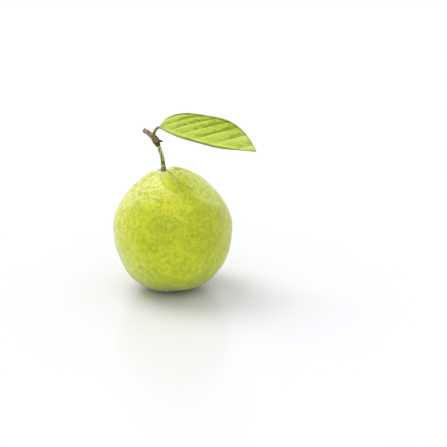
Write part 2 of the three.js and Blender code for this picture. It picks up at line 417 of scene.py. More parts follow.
# Swellings and hollows: the axis of each, how many degrees off the axis its ring lies and over
# how many it spreads, and its height in millimetres, which is less than 0 for a hollow.
swellings = {
    "shoulder round the stalk": (stalk_axis, 26, 11, 0.4),
    "lip round the stalk": (stalk_axis, 4.2, 1.6, 0.35),
    "basin of the stalk": (stalk_axis, 0, 9, -1.7),
    "basin of the calyx": (calyx_axis, 0, 7.6, -4.4),
    "heel at the left of the base": (unit((-0.60, -0.18, -0.78)), 0, 13, 1.2),
    "dent at the front of the base": (unit((0.03, -0.36, -0.93)), 0, 13, -1.0),
}
for swelling, (_, _, _, height) in swellings.items():
    print(f"{swelling}: {height} mm")

# %% Lines on the skin round the stalk
# Each line is rows of degrees from the stalk and of the azimuth there.
crest_line = [(7, -116), (12, -110), (17, -103), (23, -98), (30, -90), (35, -84), (43, -72), (60, -54)]
long_crease = [(5, -58), (11, -55), (19, -53.5), (27, -53), (33, -47), (38, -44), (50, -41)]
crease_lines = [
    long_crease,
    [(6.6, -58), (8.7, -32), (11.1, -9), (16, -4), (24, -2)],
    [(6, 120), (20, 128), (30, 132)],
    [(6, -160), (15, -165), (24, -163)],
]


def way_round(direction, line):
    """How many mm a point is beyond a line, counted round the stalk from left to right."""
    from_stalk = degrees_from(direction, stalk_axis)
    degrees, azimuths = zip(*line)
    off = wrapped(azimuth_of(direction) - np.interp(from_stalk, degrees, azimuths))
    return np.radians(off) * np.sin(np.radians(from_stalk)) * body_radius


def line_run(direction, line, ease):
    """1 along a line and 0 beyond its ends, near which it fades over a few degrees, set by ease."""
    from_stalk = degrees_from(direction, stalk_axis)
    first, last = line[0][0], line[-1][0]
    started = smooth(from_stalk, first - ease / 2, first + ease)
    return started * (1 - smooth(from_stalk, last - 2 * ease, last))


print("one crest and", len(crease_lines), "creases")

# %% The crest and the creases
crest_gentle_side = 6.5  # mm over which that side falls to about a third
crest_steep_side = 2.4
crest_ease = 6
crease_half_width = 1.0  # mm
crease_ease = 5


def crest(direction):
    """A fold beside the broadest furrow, gentle on its left and steep towards the furrow."""
    off = way_round(direction, crest_line)
    side = np.where(off < 0, np.exp(off / crest_gentle_side), np.exp(-off / crest_steep_side))
    return side * line_run(direction, crest_line, crest_ease)


def creases(direction):
    """Thin folds in the skin, strong close to the stalk and again, but less, 40 degrees from it."""
    from_stalk = degrees_from(direction, stalk_axis)
    strength = 0.15 + 0.85 * bell(from_stalk - 9, 7) + 0.4 * bell(from_stalk - 40, 4)
    total = np.zeros(len(direction))
    for line in crease_lines:
        run = line_run(direction, line, crease_ease)
        total += bell(way_round(direction, line), crease_half_width) * run
    return total * strength


# %% Pebbles
# Three sizes of pebble: how wide they are and how high in mm, and how many finer sizes each holds.
pebbles = [(6.5, 0.13, 1), (3.6, 0.10, 2), (2.0, 0.035, 1)]
pebble_shift = 50  # mm between the places from which two sizes are read, so that they don't line up


def pebbling(direction):
    points = direction * body_radius
    total = np.zeros(len(direction))
    for i, (width, height, octaves) in enumerate(pebbles):
        total += height * lumps(points + pebble_shift * i, width, octaves)
    return total


print("pebbles from", pebbles[-1][0], "to", pebbles[0][0], "mm wide")

# %% All of the fruit's relief together
crest_height = 0.55  # mm
crease_depth = 0.4


def skin_radius(direction):
    from_stalk = degrees_from(direction, stalk_axis)
    from_calyx = degrees_from(direction, calyx_axis)
    from_flat = degrees_from(direction, down)
    calm = smooth(from_stalk, 4, 16) * smooth(from_calyx, 6, 16) * smooth(from_flat, 12, 26)
    swells = crossing_waves(direction, 0.42, 6.5, 2) + crossing_waves(direction, 0.16, 17, 0.7)
    relief = calm * swells - furrow_depth(direction)
    for axis, ring, spread, height in swellings.values():
        relief += height * bell(degrees_from(direction, axis) - ring, spread)
    relief += crest_height * crest(direction) - crease_depth * creases(direction)
    relief += smooth(from_flat, 9, 20) * pebbling(direction)
    return plain_radius(direction) + relief


def skin_places(places):
    direction = places / np.linalg.norm(places, axis=1)[:, None]
    skin = direction * skin_radius(direction)[:, None] + fruit_centre
    skin[:, 2] = np.maximum(skin[:, 2], 0)  # the small flat spot that it stands on
    return skin


print("finished radius at the stalk and at the calyx:", skin_radius(ends).round(1))

# %% Make the fruit
ball = bmesh.new()
bmesh.ops.create_uvsphere(ball, u_segments=360, v_segments=250, radius=1)
tilt = Matrix(turn_from_up(stalk_axis).tolist())
bmesh.ops.rotate(ball, cent=(0, 0, 0), matrix=tilt, verts=ball.verts)
move_vertices(ball, skin_places)
fruit_piece = make_piece("fruit_skin", ball, "fruit")

# %% Where the relief lies, for the finish
note_ease = 6  # degrees over which a note fades at the ends of its line

skin_points = np.array([vertex.co[:] for vertex in fruit_piece.data.vertices]) / mm - fruit_centre
skin_directions = skin_points / np.linalg.norm(skin_points, axis=1)[:, None]
from_stalk = degrees_from(skin_directions, stalk_axis)

past_crest = way_round(skin_directions, crest_line)
beyond_crest = smooth(past_crest, -0.5, 0.7) * line_run(skin_directions, crest_line, note_ease)
crest_foot = beyond_crest * bell(past_crest - 4.5, 4.5) * (1 - smooth(from_stalk, 26, 46))

past_crease = way_round(skin_directions, long_crease)
beside_crease = smooth(past_crease, -0.2, 1.6) * (1 - smooth(past_crease, 5, 16))
beyond_crease = beside_crease * line_run(skin_directions, long_crease, note_ease)
print("the skin beyond the crest is", f"{beyond_crest.mean():.0%}", "of its points")

# %% Note it on each vertex, under names that a material can read
vertex_notes = {
    "beyond_crest": beyond_crest,
    "ridge": crest(skin_directions),
    "crest_foot": crest_foot,
    "beyond_crease": beyond_crease,
    "furrow": np.clip(furrow_depth(skin_directions) / deepest_furrow, 0, 1),
    "crease": np.clip(creases(skin_directions), 0, 1),
    "pebble": np.clip(0.5 + 2.6 * pebbling(skin_directions), 0, 1),
}
for name, values in vertex_notes.items():
    fruit_piece.data.attributes.new(name, "FLOAT", "POINT").data.foreach_set("value", values)
    print(f"{name}: {values.min():.2f} to {values.max():.2f}")

# %% [markdown]
# ## The fruit's finish
#
# A ripening white guava goes from green to yellow unevenly. Broad patches lie under a fine
# mottling with tiny pores. The furrows stay green and the hollow beside the crest turns golden.
# Light and shade are painted in as well: a painted highlight and a painted reflection, pale like
# wax, on the left side and the shoulders; painted light as pale yellow on the lit shoulder and the
# crest, as a lighter lime low down and on the tips of the pebbles; and painted shade in the hollows
# of the relief, in the creases and at the base. A painted image would hold all that, but it would
# have to be wrapped round a ball. Here each effect is a mask, mixed in one after another: noise in
# Object coordinates, the way that the skin faces, or a number that was noted on the vertices.

# %% The skin's shader, with a soft bloom of wax
skin, skin_shader, skin_place = start_material("guava skin", specular=0.3)
skin_shader.inputs["Sheen Weight"].default_value = 0.3
skin_shader.inputs["Sheen Roughness"].default_value = 0.45
so_far(skin)

# %% Masks: noise of four sizes
patches = speckle(skin_place, 22, 2, shift=3.1)
mottling = speckle(skin_place, 4.5, 2, shift=7.7)
soft_grain = speckle(skin_place, 3.0, 1.5, shift=9.2)
grain = speckle(skin_place, 1.6, 2, shift=1.3)
so_far(skin)


# %% Masks: the vertices' notes, and the way that the skin faces
def noted(name):
    return skin_place.node("Attribute", {"attribute_name": name}, output=2)


middle = tuple(fruit_centre * mm)
from_middle = skin_place.node("VectorMath", {"operation": "SUBTRACT"}, {0: skin_place, 1: middle})
outward = from_middle.node("VectorMath", {"operation": "NORMALIZE"}, {0: from_middle})


def zone(direction, faint, full):
    """A patch of skin that faces a direction. The cosine of the angle between them is faint at the
    patch's edge, and full where the patch is whole. It is 1 right in the direction, 0 square to it."""
    sockets = {0: outward, 1: tuple(unit(direction))}
    facing = outward.node("VectorMath", {"operation": "DOT_PRODUCT"}, sockets, output=1)
    return facing.above(faint, full)


furrow = noted("furrow")
pebble = noted("pebble")
before_crest = 1 - noted("beyond_crest")
ridge = noted("ridge") * before_crest
so_far(skin)

# %% Green to yellow, then a lighter lime lower down as painted light, and darker green underneath as painted shade
deep_green = colour(167, 180, 14)
ripe_yellow = colour(196, 202, 22)
# The lighter lime lifts the shaded lower side: painted light.
deep_lime = colour(173, 187, 6)
bright_lime = colour(204, 216, 24)
# Darker green at the base, where the fruit stands on the table: painted shade.
base_shade_green = colour(148, 162, 2)
low_down = zone((-0.35, -0.35, -0.87), 0.05, 0.65)
at_the_base = zone(down, 0.55, 0.8)
underneath = zone(down, 0.72, 0.92)

ripeness = 0.45 + (patches - 0.5) * 1.1 + (mottling - 0.5) * 0.8 + (soft_grain - 0.5) * 1.1
flesh_tone = mix(ripeness.above(0, 1), deep_green, ripe_yellow)
lime_patches = patches * 0.3 + mottling * 0.4 + soft_grain * 0.3
lime = mix(lime_patches.above(0.36, 0.62), deep_lime, bright_lime)
lifted_low_down = mix(low_down * (1 - at_the_base), flesh_tone, lime)
base_shaded = mix(underneath * 0.7, lifted_low_down, base_shade_green)
so_far(skin)

# %% Green furrows, and a golden hollow at the foot of the crest
furrow_green = colour(172, 183, 4)
golden = colour(206, 206, 10)
greener = mix(furrow * 0.7, base_shaded, furrow_green)
gilded = mix(noted("crest_foot") * (0.75 + (soft_grain - 0.5) * 1.5), greener, golden)
so_far(skin)

# %% Lemon yellow as painted light on the lit shoulder and the crest, and on a spot at the front
lemon = colour(208, 212, 40)
lit_shoulder = zone((-0.08, -0.56, 0.82), 0.80, 0.95) * before_crest
front_spot = zone((0.16, -0.79, 0.59), 0.93, 0.99)

uneven = (pebble - 0.5) * 0.8 + (grain - 0.5) * 1.5 + (soft_grain - 0.5) * 0.8
# Painted light: the lit shoulder and the lit slope of the crest turn pale yellow. The spot at the front is
# a paler patch too.
lemon_mask = lit_shoulder * (0.5 + uneven) + ridge + front_spot * (0.6 + uneven)
lit_yellowed = mix(lemon_mask.above(0, 1) * 0.75, gilded, lemon)
so_far(skin)

# %% Painted highlight: how strong it is, in streaks and bands
streaks_down = speckle(skin_place, 2.2, 2, stretch=(1, 1, 2.6), shift=6.1)
bands_across = speckle(skin_place, 2.3, 2, stretch=(2.6, 1.4, 1), shift=5.3)
# thickness says how strong the painted highlight is, broken into streaks down the skin.
thickness = (0.55 + uneven + (streaks_down - 0.5) * 1.6).above(0, 1)
highlight_bands = (0.45 + uneven * 0.6 + (bands_across - 0.5) * 3.6).above(0, 1)
so_far(skin)

# %% Painted highlight and painted reflection, pale like wax: on the left side and on the shoulders
painted_rim_reflection = colour(214, 221, 88)
painted_highlight = colour(222, 223, 138)
painted_right_highlight = colour(222, 230, 112)
left_side = zone((-0.95, -0.13, -0.20), 0.50, 0.90)
left_shoulder = zone((-0.62, -0.20, 0.75), 0.84, 0.98)
near_shoulder = zone((-0.24, -0.41, 0.88), 0.90, 0.98) * before_crest
far_shoulder = zone((0.60, -0.14, 0.79), 0.83, 0.94)

out_of_furrows = 1 - furrow * 0.6
left_highlight_mask = (near_shoulder + ridge * 0.6 + left_shoulder * out_of_furrows).above(0, 1) * highlight_bands
right_highlight_mask = (far_shoulder * out_of_furrows + noted("beyond_crease") * 0.7).above(0, 1)
# A painted reflection along the left side, and painted highlights on the shoulders and beside the long
# crease.
side_highlighted = mix(left_side * thickness * 0.7, lit_yellowed, painted_rim_reflection)
left_highlighted = mix(left_highlight_mask * 0.7, side_highlighted, painted_highlight)
highlighted = mix(right_highlight_mask * (0.3 + thickness * 0.7) * 0.75, left_highlighted, painted_right_highlight)
so_far(skin)

# %% Pores and painted shade in the hollows, painted light on the pebble tips, the rim round the stalk, and painted shade in the creases
pore_and_hollow_shade = colour(142, 156, 4)
lit_pebble_tip = colour(208, 214, 78)
cream = colour(232, 232, 176)
crease_shade_green = colour(114, 122, 2)
stalk_rim = zone(stalk_axis, 0.985, 0.996)

relief = grain + (pebble - 0.5) * 0.35
# Darker green in the low parts of the relief is dark pores and painted shade in the hollows. Paler on the
# high parts is painted light on the pebble tips.
hollow_shaded = mix((1 - relief.above(0.25, 0.55)) * (0.35 - left_highlight_mask * 0.15), highlighted, pore_and_hollow_shade)
tip_lit = mix(relief.above(0.5, 0.75) * 0.4, hollow_shaded, lit_pebble_tip)
rimmed = mix(stalk_rim * 0.6, tip_lit, cream)
# Dark olive along the creases is painted shade.
crease_shading = noted("crease") * (0.8 + (mottling - 0.5) * 1.5).above(0, 1)
mix(crease_shading * 0.85, rimmed, crease_shade_green).to(skin_shader, "Base Color")
so_far(skin)

# %% Shine, broken up by bumps about a millimetre wide
(0.36 + (mottling - 0.5) * 0.2).to(skin_shader, "Roughness")
grain_bumps = bump(relief, 0.4)
fine_bumps = bump(speckle(skin_place, 1.0, 1, shift=4.2), 0.08, over=grain_bumps)
fine_bumps.to(skin_shader, "Normal")
cover(fruit_piece, skin)

# %% [markdown]
# ## The dried calyx
#
# When the flower fades, its sepals stay on the blossom end and dry to a small brown crown, sunk in
# a basin under the fruit. A flattened ball is stretched into five points and cupped, as the sepals
# are joined at their bases. A few dried threads of the flower stand inside it.

# %% The crown of sepals
sepals = 5
disc_radius = 2.4
sepal_length = 2.7
sepal_sharpness = 1.3
crown_depth = 3.5  # how far its middle is sunk below the skin
crown_thickness = 0.9
cupping = 2.3
crinkle_height = 0.25
crinkle_size = 1.1
calyx_turn = turn_from_up(calyx_axis)
calyx_seat = plain_radius(calyx_axis[None])[0] - crown_depth


def calyx_places(places):
    across = np.hypot(places[:, 0], places[:, 1])
    around = np.arctan2(places[:, 1], places[:, 0])
    pointed = np.abs(np.cos(0.5 * sepals * around)) ** sepal_sharpness
    reach = disc_radius + sepal_length * pointed
    spread_out = places[:, :2] * reach[:, None]
    crinkle = crinkle_height * lumps(np.column_stack([spread_out, across * 0]), crinkle_size, 2) * across
    rise = cupping * across**2 * (0.5 + 0.5 * pointed)
    height = calyx_seat + rise + crinkle + places[:, 2] * 0.5 * crown_thickness
    return np.column_stack([spread_out, height]) @ calyx_turn.T + fruit_centre


crown = bmesh.new()
bmesh.ops.create_uvsphere(crown, u_segments=120, v_segments=24, radius=1)
move_vertices(crown, calyx_places)
crown_piece = make_piece("dried_sepals", crown, "calyx")

# %% Dried threads inside the crown
thread_count = 26
thread_patch_radius = 1.9
thread_lean = 0.25
thread_foot_radius = 0.14
thread_tip_radius = 0.06

threads = bmesh.new()
for i in range(thread_count):
    turn = golden_angle * i
    ring_radius = thread_patch_radius * math.sqrt((i + 0.5) / thread_count)
    lean = Vector((thread_lean * math.cos(turn), thread_lean * math.sin(turn), 1)).normalized()
    length = 1.3 + 0.4 * math.sin(5.3 * i)
    foot = Vector((ring_radius * math.cos(turn), ring_radius * math.sin(turn), calyx_seat + 0.2))
    stand = Matrix.Translation(foot + lean * length / 2) @ lean.to_track_quat("Z", "Y").to_matrix().to_4x4()
    bmesh.ops.create_cone(
        threads,
        cap_ends=True,
        segments=6,
        radius1=thread_foot_radius,
        radius2=thread_tip_radius,
        depth=length,
        matrix=stand,
    )
move_vertices(threads, lambda places: places @ calyx_turn.T + fruit_centre)
threads_piece = make_piece("dried_threads", threads, "calyx")

# %% Dry brown finish
dark_husk = colour(70, 52, 30)
pale_husk = colour(139, 118, 74)
dry, dry_shader, dry_place = start_material("dried sepals", 0.85)
papery = speckle(dry_place, 0.9, 3)
mix(papery.above(0.3, 0.7), dark_husk, pale_husk).to(dry_shader, "Base Color")
bump(papery, 0.15).to(dry_shader, "Normal")
cover(crown_piece, dry)
cover(threads_piece, dry)

# %% [markdown]
# ## Stems
#
# The stalk, the twig, the bud, and the leaf's stalk with its midrib are all stems: round, tapered,
# curved and a little rough. A curve object with a bevel makes a smooth pipe, but not bark. So a
# straight tube from a cone and a subdivision is bent along a curve, and its wall is roughened.

# %% The line that a stem follows
def along_curve(rows, count):
    """count + 1 rows on a smooth curve through the given rows, each one x, y, z and a radius."""
    rows = np.array(rows, float)
    rows = np.vstack([2 * rows[0] - rows[1], rows, 2 * rows[-1] - rows[-2]])
    steps = np.linspace(0, len(rows) - 3, count + 1)
    span = np.minimum(steps.astype(int), len(rows) - 4)
    t = (steps - span)[:, None]
    a, b, c, d = (rows[span + i] for i in range(4))
    return 0.5 * (2 * b + (c - a) * t + (2 * a - 5 * b + 4 * c - d) * t**2 + (3 * b - a - 3 * c + d) * t**3)


def carried_frames(centres):
    """At each centre the curve's direction and two sideways directions, carried along with no twist."""
    tangents = np.gradient(centres, axis=0)
    tangents /= np.linalg.norm(tangents, axis=1)[:, None]
    sideways = [unit(np.cross(tangents[0], (0.0, 1.0, 0.1)))]
    for tangent in tangents[1:]:
        carried = sideways[-1] - tangent * (sideways[-1] @ tangent)
        sideways.append(unit(carried))
    sideways = np.array(sideways)
    return tangents, sideways, np.cross(tangents, sideways)


# %% A straight tube, bent and roughened
cap_inset = 0.4  # a ring inside each end, as a share of the radius, so that the end can be domed
dome_share = 0.35  # how far the middle of an end stands out, as a share of the stem's radius
bark_lump = 1.4  # mm


def straight_tube(sides, rings):
    """A tube along Z with a radius of 1, as long as it has rings, and with closed ends."""
    tube = bmesh.new()
    bmesh.ops.create_cone(tube, cap_ends=True, segments=sides, radius1=1, radius2=1, depth=rings)
    upright = [edge for edge in tube.edges if abs(edge.verts[0].co.z - edge.verts[1].co.z) > 0.5 * rings]
    bmesh.ops.subdivide_edges(tube, edges=upright, cuts=rings - 1, use_grid_fill=True)
    for cap in [face for face in tube.faces if len(face.verts) == sides]:
        bmesh.ops.inset_region(tube, faces=[cap], thickness=cap_inset, depth=0)
        bmesh.ops.poke(tube, faces=[cap])
    return tube


def add_stem(mesh, rows, sides, rings, roughness, stretch=1.0):
    """Adds a stem to the mesh. roughness is the height of its lumps in mm, which are stretched upwards."""
    curve = along_curve(rows, rings)
    tangents, sideways, upward = carried_frames(curve[:, :3])

    def bend(places):
        ring = np.clip(np.round(places[:, 2] + rings / 2).astype(int), 0, rings)
        out = places[:, 0, None] * sideways[ring] + places[:, 1, None] * upward[ring]
        at_end = (ring == 0) * -1.0 + (ring == rings) * 1.0
        inset = 1 - np.hypot(places[:, 0], places[:, 1])
        radius = curve[ring, 3]
        dome = at_end * radius * dome_share * np.sqrt(np.clip(inset, 0, 1))
        wall = curve[ring, :3] + out * radius[:, None]
        rough = roughness * lumps(wall * (1, 1, 1 / stretch), bark_lump, 2)
        return wall + out * rough[:, None] + tangents[ring] * dome[:, None]

    tube = straight_tube(sides, rings)
    move_vertices(tube, bend)
    add_and_free(mesh, tube)


# %% The stalk, in rows of x, y, z and a radius
stalk_rows = [
    (-6.0, 0, 85.4, 2.3),
    (-6.3, 0, 88.1, 2.0),
    (-6.4, 0, 90.6, 1.75),
    (-6.7, 0, 94.7, 1.5),
    (-7.3, 0, 98.8, 1.4),
    (-8.4, 0, 102.9, 1.3),
    (-9.8, 0, 107.4, 1.3),
]
stalk = bmesh.new()
add_stem(stalk, stalk_rows, sides=40, rings=90, roughness=0.12, stretch=2.5)
stalk_piece = make_piece("fruit_stalk", stalk, "stalk")

# %% The twig with its swollen joint
twig_rows = [
    (-9.7, 0, 106.5, 1.4),
    (-10.4, 0, 108.4, 2.05),
    (-11.6, 0, 111.0, 2.6),
    (-13.7, 0, 113.8, 2.05),
    (-16.6, 0, 116.1, 1.75),
    (-19.2, 0, 117.9, 1.65),
    (-19.8, 0, 118.2, 1.6),
]
twig = bmesh.new()
add_stem(twig, twig_rows, sides=56, rings=110, roughness=0.22)

# %% The round scar of a dropped leaf: a plug with a rim round it
scar_centre = Vector((-11.0, -2.1, 111.6))
scar_facing = Vector((0.2, -1, 0.1)).normalized()
scar_stand = Matrix.Translation(scar_centre) @ scar_facing.to_track_quat("Z", "Y").to_matrix().to_4x4()
scar_radius = 1.25
plug_length = 1.4
rim_half_thickness = 0.38
rim_rise = 0.55
rim_place = Matrix.Translation((scar_radius, 0, rim_rise)) @ Matrix.Rotation(math.pi / 2, 4, "X")

scar = bmesh.new()
bmesh.ops.create_circle(scar, segments=14, radius=rim_half_thickness, matrix=rim_place)
bmesh.ops.spin(
    scar,
    geom=scar.verts[:] + scar.edges[:],
    cent=(0, 0, 0),
    axis=(0, 0, 1),
    angle=2 * math.pi,
    steps=40,
    use_merge=True,
)
bmesh.ops.recalc_face_normals(scar, faces=scar.faces)
bmesh.ops.create_cone(
    scar, cap_ends=True, segments=32, radius1=scar_radius, radius2=scar_radius, depth=plug_length
)
bmesh.ops.transform(scar, matrix=scar_stand, verts=scar.verts)
add_and_free(twig, scar)
twig_piece = make_piece("twig_bark", twig, "twig")

# %% The bud
bud_rows = [
    (-10.6, -0.6, 110.8, 0.9),
    (-9.0, -0.7, 110.6, 0.9),
    (-7.6, -0.8, 110.4, 0.7),
    (-6.1, -0.9, 110.1, 0.18),
]
bud = bmesh.new()
add_stem(bud, bud_rows, sides=24, rings=30, roughness=0.1)
bud_piece = make_piece("bud_scales", bud, "bud")

# %% [markdown]
# ## Finishes of the stems
#
# The stalk is still green under a thin brown bark, with dark specks and streaks along it, and it
# is darker where it enters the fruit. The twig is older: grey and tan towards its cut end, dark
# brown round the joint, and ginger where the leaf's stalk grows out. An image of bark could be
# wrapped round each stem, but noise that is stretched along it needs no map. Heights and distances
# say where one colour gives way to the next.

# %% Stalk
dark_olive = colour(148, 144, 72)
pale_olive = colour(206, 204, 132)
speck_brown = colour(84, 74, 26)
foot_brown = colour(70, 66, 14)

green_bark, stalk_shader, stalk_place = start_material("green stalk bark", 0.62, specular=0.2)
stalk_height = stalk_place.part(2)
lower_part = 1 - stalk_height.above(0.0890, 0.0990)
stalk_foot = 1 - stalk_height.above(0.0880, 0.0915)
long_streaks = speckle(stalk_place, 0.9, 3, stretch=(1, 1, 4))
speckled = speckle(stalk_place, 1.7, 2.5, stretch=(1, 1, 2), shift=2.2)
specks = (speckled + lower_part * 0.07).above(0.47, 0.62)

olive = mix(long_streaks.above(0.3, 0.7), dark_olive, pale_olive)
specked = mix(specks * 0.85, olive, speck_brown)
mix(stalk_foot * 0.85, specked, foot_brown).to(stalk_shader, "Base Color")
bump(long_streaks, 0.2).to(stalk_shader, "Normal")
cover(stalk_piece, green_bark)

# %% Twig: patterns
brown_bark, twig_shader, twig_place = start_material("twig bark", 0.75, specular=0.25)
along_twig = (0, math.radians(-52), 0)
bark_grain = speckle(twig_place, 0.9, 3, stretch=(1, 1, 3), turn=along_twig)
blotches = speckle(twig_place, 2.0, 2, shift=5.0)
so_far(brown_bark)

# %% Twig: places on it
leaf_foot = (-13.2, -1.2, 113.6)


def distance_from(point):
    """Wire with the distance from a point, in millimetres."""
    both = {0: twig_place, 1: tuple(value * mm for value in point)}
    return twig_place.node("VectorMath", {"operation": "DISTANCE"}, both, output=1) * (1 / mm)


across_twig = twig_place.part(0)
joint = (across_twig.above(-0.0150, -0.0118) + (blotches - 0.5) * 0.8).above(0.2, 0.8)
cut_end = 1 - across_twig.above(-0.0197, -0.0190)
by_the_stalk = 1 - twig_place.part(2).above(0.1070, 0.1086)
by_the_leaf = 1 - distance_from(leaf_foot).above(1.2, 2.6)
from_scar = distance_from(scar_centre)
scar_rim = (1 - from_scar.above(1.5, 1.9)) * from_scar.above(0.7, 1.1)
scar_pit = 1 - from_scar.above(0.6, 1.0)
so_far(brown_bark)

# %% Twig: colours
tan_wood = mix(bark_grain.above(0.3, 0.7), colour(112, 98, 76), colour(182, 164, 128))
dark_wood = mix(blotches.above(0.35, 0.7), colour(56, 38, 16), colour(108, 84, 46))
grain_and_blotches = bark_grain * 0.5 + blotches * 0.5
ginger_wood = mix(grain_and_blotches.above(0.4, 0.6), colour(96, 62, 24), colour(172, 122, 62))
olive_wood = mix(bark_grain.above(0.3, 0.7), colour(66, 56, 22), colour(122, 112, 62))
rim_tan = colour(172, 154, 116)
pit_brown = colour(40, 32, 20)
cut_grey = colour(86, 78, 66)

barked = mix(joint, tan_wood, dark_wood)
gingered = mix(by_the_leaf * 0.8, barked, ginger_wood)
greened = mix(by_the_stalk * 0.6, gingered, olive_wood)
scar_edged = mix(scar_rim * 0.75, greened, rim_tan)
scarred = mix(scar_pit * 0.8, scar_edged, pit_brown)
mix(cut_end * 0.7, scarred, cut_grey).to(twig_shader, "Base Color")
bump(bark_grain, 0.3).to(twig_shader, "Normal")
cover(twig_piece, brown_bark)

# %% Bud
dark_scale = colour(38, 34, 22)
dusty_scale = colour(92, 82, 54)
dark_scales, bud_shader, bud_place = start_material("bud scales", 0.7)
scale_flecks = speckle(bud_place, 0.7, 2)
mix(scale_flecks.above(0.35, 0.7), dark_scale, dusty_scale).to(bud_shader, "Base Color")
bump(scale_flecks, 0.1).to(bud_shader, "Normal")
cover(bud_piece, dark_scales)

# %% [markdown]
# ## The leaf's shape
#
# A guava leaf is folded up along its midrib and quilted: the side veins are pressed in on its upper
# face, and the blade swells between them. A flat sheet with a bump map would look right from one
# side only. So a fine grid is folded, quilted and waved by a formula, and then gets its thickness.

# %% The leaf's driving dimensions, in millimetres
blade_base = np.array((-8.6, 0, 120.9))
blade_length = 71.3
blade_half_width = 20.5
blade_thickness = 0.42
widest_at = 0.51  # as a share of the length
point_fullness = 2.5  # more is a blunter tip
blade_sag = 2.0
blade_bow = 1.6

blade_droop = math.radians(11.3)  # of the tip, below level
blade_heading = math.radians(-13.4)  # of the tip, to the front
blade_roll = math.radians(21.2)  # about the midrib
blade_fold = math.radians(34)  # of each half, up from flat

# %% The blade's own directions
level = math.cos(blade_droop)
forward = (level * math.cos(blade_heading), level * math.sin(blade_heading), -math.sin(blade_droop))
blade_along = np.array(forward)
level_across = Vector(unit(np.cross(up, blade_along)))
blade_across = np.array(Matrix.Rotation(blade_roll, 3, Vector(blade_along)) @ level_across)
blade_out = np.cross(blade_along, blade_across)
print("the leaf's upper face is turned to", blade_out.round(2))

# %% Outline and veins
first_vein = -9  # mm along the midrib from the blade's base
vein_spacing = 4.3  # mm at the first vein
vein_widening = 0.08  # mm more for each mm towards the tip
vein_lean = 1  # mm towards the tip for each mm out, at the base
vein_lean_gain = 1  # how much more it is at the tip


def half_width(share):
    """Half of the blade's width at a share of its length: a round base and a drawn-out tip."""
    short = np.sqrt(np.clip(1 - ((widest_at - share) / widest_at) ** 2, 0, 1))
    past = 1 - np.clip((share - widest_at) / (1 - widest_at), 0, 1) ** point_fullness
    return np.maximum(0.3, blade_half_width * np.where(share < widest_at, short, past))


def vein_count(share, side):
    """A whole number on each side vein, and a half way between two of them."""
    way = np.abs(side) * half_width(share)
    vein_foot = blade_length * share - way * (vein_lean + vein_lean_gain * share) - first_vein
    return vein_foot / (vein_spacing + vein_widening * vein_foot)


# %% The blade's form
quilt_height = 0.55  # mm
edge_wave_height = 0.25
edge_waves = 2.3  # along the whole blade
wave_lag = 0.18  # of a wave, from the middle to each edge
rib_softness = 0.06  # how round the fold is at the midrib


def blade_places(share, side):
    """Where the blade is at a share of its length, and at -1 to 1 across it."""
    off = np.abs(side)
    half = half_width(share)
    between = np.abs(np.sin(math.pi * vein_count(share, side))) ** 0.8
    inside = smooth(off, 0.02, 0.3) * (1 - smooth(off, 0.75, 1)) * np.minimum(1, half / 8)
    fold = np.hypot(side, rib_softness) - rib_softness
    swing = 2 * math.pi * (edge_waves * share - wave_lag * np.sign(side))
    wave = edge_wave_height * np.sin(swing) * off**3
    sagging = np.sin(math.pi * share)
    rise = half * math.sin(blade_fold) * fold + quilt_height * between * inside + wave - blade_sag * sagging
    across = half * math.cos(blade_fold) * side - blade_bow * sagging
    return (
        blade_base
        + blade_length * share[:, None] * blade_along
        + across[:, None] * blade_across
        + rise[:, None] * blade_out
    )


# %% A flat grid, with a map that counts the veins
veins_in_map = 10  # how many veins one unit of the map holds

blade = bmesh.new()
bmesh.ops.create_grid(blade, x_segments=220, y_segments=90, size=1)
flat = np.array([vertex.co[:] for vertex in blade.verts])
shares = (flat[:, 0] + 1) / 2
sides = np.sign(flat[:, 1]) * np.abs(flat[:, 1]) ** 1.2  # closer together near the midrib
veins = vein_count(shares, sides)

vein_map = blade.loops.layers.uv.new("veins")
for face in blade.faces:
    for loop in face.loops:
        i = loop.vert.index
        loop[vein_map].uv = (veins[i] / veins_in_map, sides[i])
print("count of the veins, from the base to the tip:", round(veins.min(), 1), "to", round(veins.max(), 1))

# %% Make the blade
crinkle = 0.12  # mm
crinkle_width = 2.4


def crinkled_blade(_):
    places = blade_places(shares, sides)
    return places + crinkle * lumps(places, crinkle_width, 2)[:, None] * blade_out


move_vertices(blade, crinkled_blade)
blade_piece = make_piece("leaf_blade", blade, "leaf")

sheet = blade_piece.modifiers.new("thickness", "SOLIDIFY")
sheet.thickness = blade_thickness * mm
sheet.offset = -1
sheet.material_offset = 1  # the underside wears the second material

# %% The leaf's stalk and midrib in one stem
leaf_stalk_rows = [
    (-12.6, 0, 113.2, 1.3),
    (-12.6, 0, 115.3, 1.1),
    (-12.1, 0, 117.3, 1.0),
    (-11.0, 0, 118.9, 1.0),
    (-8.9, -0.05, 120.2, 0.9),
]
rib_shares = np.linspace(0.06, 0.99, 11)
rib_radii = 0.8 - 0.62 * rib_shares
rib_drop = blade_thickness + 0.45 * rib_radii  # so that it stands out of the underside
rib_places = blade_places(rib_shares, np.zeros(11)) - rib_drop[:, None] * blade_out
rib_rows = leaf_stalk_rows + [(*place, radius) for place, radius in zip(rib_places, rib_radii)]
rib = bmesh.new()
add_stem(rib, rib_rows, sides=28, rings=150, roughness=0.06, stretch=2.0)
rib_piece = make_piece("leaf_stalk_and_rib", rib, "leaf")

# %% [markdown]
# ## The leaf's finish
#
# The upper face is a fresh light green with a soft shine and paler veins. Painted shade darkens one
# side of each swelling, the near half and the edges, and painted light brightens the other side of
# each swelling. The underside is paler and dull. The veins could be painted by hand, but the
# blade's own map already counts them, so a vein is simply where that count is a whole number.

# %% Patterns that both faces share
net_size = 1.7 * mm


